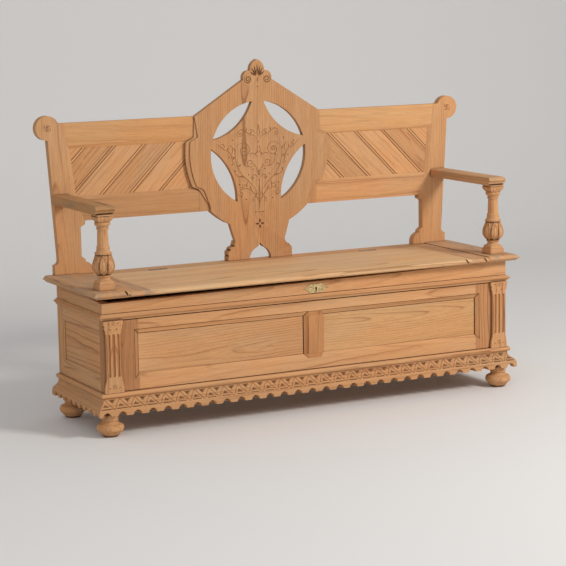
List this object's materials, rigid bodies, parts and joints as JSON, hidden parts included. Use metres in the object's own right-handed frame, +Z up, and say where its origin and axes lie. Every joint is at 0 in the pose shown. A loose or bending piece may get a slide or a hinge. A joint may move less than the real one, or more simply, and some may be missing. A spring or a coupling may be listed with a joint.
{
  "type": "settle bench",
  "caption": "Wooden chest bench with a hinged lid seat, turned arm supports, diagonal back boards and a pierced carved splat.",
  "frame": {"origin": "on the floor, under the middle of the bench's box", "axes": "+X along the bench to the sitter's left, which is the right-hand side seen from the front; +Y towards the back; +Z up"},
  "size_m": [1.71, 0.491, 1.2243],
  "materials": {
    "stripped_wood": "matte stripped softwood with open grain",
    "weathered_wood": "matte, greyer and worn by hands",
    "inner_wood": "matte sawn boards",
    "brass": "aged brass",
    "steel": "dull dark steel"
  },
  "bodies": {
    "bench": {"arm_left": "weathered_wood", "arm_right": "weathered_wood", "arm_support_left": "stripped_wood", "arm_support_right": "stripped_wood", "back_bottom_rail_left": "stripped_wood", "back_bottom_rail_right": "stripped_wood", "back_post_left": "stripped_wood", "back_post_right": "stripped_wood", "back_splat": "stripped_wood", "back_top_rail_left": "stripped_wood", "back_top_rail_right": "stripped_wood", "carcass_screws": "steel", "chest_back": "inner_wood", "chest_floor": "inner_wood", "corner_blocks": "inner_wood", "diagonal_boards_left": "stripped_wood", "diagonal_boards_right": "stripped_wood", "escutcheon": "brass", "floor_battens": "inner_wood", "foot_front_left": "stripped_wood", "foot_front_right": "stripped_wood", "foot_rear_left": "stripped_wood", "foot_rear_right": "stripped_wood", "frieze_board": "stripped_wood", "front_bottom_rail": "stripped_wood", "front_muntin": "stripped_wood", "front_panel_left": "stripped_wood", "front_panel_right": "stripped_wood", "front_stile_left": "stripped_wood", "front_stile_right": "stripped_wood", "front_top_rail": "stripped_wood", "hinge_fixed_leaves": "steel", "hinge_pins": "steel", "lock_case": "steel", "pilaster_left": "stripped_wood", "pilaster_right": "stripped_wood", "plinth_bead": "stripped_wood", "plinth_front": "stripped_wood", "plinth_left": "stripped_wood", "plinth_right": "stripped_wood", "rear_stile_left": "stripped_wood", "rear_stile_right": "stripped_wood", "seat_end_left": "weathered_wood", "seat_end_right": "weathered_wood", "seat_rear_rail": "stripped_wood", "side_bottom_rail_left": "stripped_wood", "side_bottom_rail_right": "stripped_wood", "side_panel_left": "stripped_wood", "side_panel_right": "stripped_wood", "side_top_rail_left": "stripped_wood", "side_top_rail_right": "stripped_wood", "waist_moulding": "stripped_wood"},
    "lid": {"lid_board_front": "stripped_wood", "lid_board_rear": "stripped_wood", "lid_cleat_left": "stripped_wood", "lid_cleat_right": "stripped_wood", "hinge_lid_leaves": "steel", "lock_staple": "steel", "lid_screws": "steel"},
    "lock_bolt": {"lock_bolt": "steel"}
  },
  "joints": [
    {"name": "lid_hinge", "type": "hinge", "parent": "bench", "child": "lid", "pos_m": [0, 0.168, 0.493], "axis": [-1, 0, 0], "range_deg": [0, 95]},
    {"name": "lock_bolt_slide", "type": "slide", "parent": "bench", "child": "lock_bolt", "axis": [1, 0, 0], "range_m": [0, 0.009]}
  ]
}
